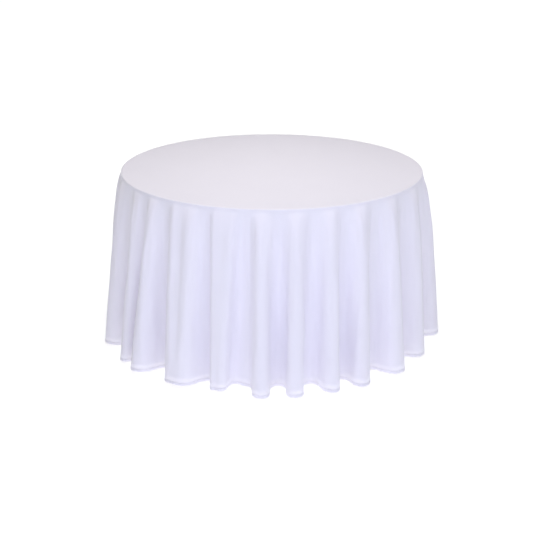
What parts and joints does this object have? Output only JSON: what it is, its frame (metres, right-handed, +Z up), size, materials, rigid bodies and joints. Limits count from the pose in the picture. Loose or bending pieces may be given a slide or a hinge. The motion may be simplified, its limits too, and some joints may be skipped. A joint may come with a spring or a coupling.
{
  "type": "round table with a floor-length tablecloth",
  "caption": "White round tablecloth hanging in soft folds to the floor over a round folding table with two hinged leg sets and jointed braces.",
  "frame": {"origin": "on the floor under the middle of the tabletop", "axes": "+Z up; +Y from leg set A's hinge to leg set B's hinge; +X to the right, along both hinges, with leg set A at the front"},
  "size_m": [1.6122, 1.6122, 0.762],
  "materials": {
    "plywood": "satin",
    "laminate": "matte",
    "vinyl_edge": "satin",
    "cleat_wood": "matte",
    "grey_steel": "satin",
    "zinc_steel": "satin",
    "black_plastic": "matte",
    "cloth": "soft sheen",
    "sewing_thread": "matte"
  },
  "bodies": {
    "tabletop": {"tabletop_core": "plywood", "tabletop_laminate": "laminate", "edge_moulding": "vinyl_edge", "cleat_a": "cleat_wood", "cleat_b": "cleat_wood", "cleat_screws": "zinc_steel", "hinge_bracket_a_left": "grey_steel", "hinge_bracket_a_right": "grey_steel", "hinge_bracket_b_left": "grey_steel", "hinge_bracket_b_right": "grey_steel", "bracket_screws": "zinc_steel", "hinge_rod_a": "zinc_steel", "hinge_rod_b": "zinc_steel", "rod_caps": "zinc_steel", "brace_bracket_a": "grey_steel", "brace_bracket_b": "grey_steel", "brace_bracket_pins": "zinc_steel", "brace_bracket_screws": "zinc_steel"},
    "leg_set_a": {"leg_tube_a_left": "grey_steel", "leg_tube_a_right": "grey_steel", "crossbar_a": "grey_steel", "stretcher_a": "grey_steel", "foot_a_left": "black_plastic", "foot_a_right": "black_plastic", "tube_plugs_a": "black_plastic", "brace_lug_a": "grey_steel", "lug_rivet_a": "zinc_steel"},
    "leg_set_b": {"leg_tube_b_left": "grey_steel", "leg_tube_b_right": "grey_steel", "crossbar_b": "grey_steel", "stretcher_b": "grey_steel", "foot_b_left": "black_plastic", "foot_b_right": "black_plastic", "tube_plugs_b": "black_plastic", "brace_lug_b": "grey_steel", "lug_rivet_b": "zinc_steel"},
    "lower_link_a": {"lower_brace_a": "grey_steel", "elbow_rivet_a": "zinc_steel"},
    "upper_link_a": {"upper_brace_a": "grey_steel", "elbow_head_a": "zinc_steel"},
    "lower_link_b": {"lower_brace_b": "grey_steel", "elbow_rivet_b": "zinc_steel"},
    "upper_link_b": {"upper_brace_b": "grey_steel", "elbow_head_b": "zinc_steel"},
    "cloth": {"tablecloth": "cloth", "hem": "cloth", "hem_thread": "sewing_thread"}
  },
  "joints": [
    {"name": "leg_a_fold", "type": "hinge", "parent": "tabletop", "child": "leg_set_a", "pos_m": [0, -0.37, 0.7], "axis": [1, 0, 0], "range_deg": [0, 93]},
    {"name": "lower_link_a_turn", "type": "hinge", "parent": "leg_set_a", "child": "lower_link_a", "pos_m": [0, -0.39307, 0.45087], "axis": [1, 0, 0], "range_deg": [0, 50.11]},
    {"name": "upper_link_a_turn", "type": "hinge", "parent": "tabletop", "child": "upper_link_a", "pos_m": [0, -0.075, 0.69], "axis": [1, 0, 0], "range_deg": [-36.99, 0]},
    {"name": "leg_b_fold", "type": "hinge", "parent": "tabletop", "child": "leg_set_b", "pos_m": [0, 0.37, 0.694], "axis": [-1, 0, 0], "range_deg": [0, 93]},
    {"name": "lower_link_b_turn", "type": "hinge", "parent": "leg_set_b", "child": "lower_link_b", "pos_m": [0, 0.39307, 0.44487], "axis": [-1, 0, 0], "range_deg": [0, 50.11]},
    {"name": "upper_link_b_turn", "type": "hinge", "parent": "tabletop", "child": "upper_link_b", "pos_m": [0, 0.075, 0.684], "axis": [-1, 0, 0], "range_deg": [-36.99, 0]},
    {"name": "cloth_lift", "type": "slide", "parent": "tabletop", "child": "cloth", "axis": [0, 0, 1], "range_m": [0, 0.8]}
  ],
  "couplings": [
    {"joint": "lower_link_a_turn", "follows": "leg_a_fold", "ratio": 0.53831},
    {"joint": "upper_link_a_turn", "follows": "leg_a_fold", "ratio": -0.39717},
    {"joint": "lower_link_b_turn", "follows": "leg_b_fold", "ratio": 0.53831},
    {"joint": "upper_link_b_turn", "follows": "leg_b_fold", "ratio": -0.39717}
  ]
}
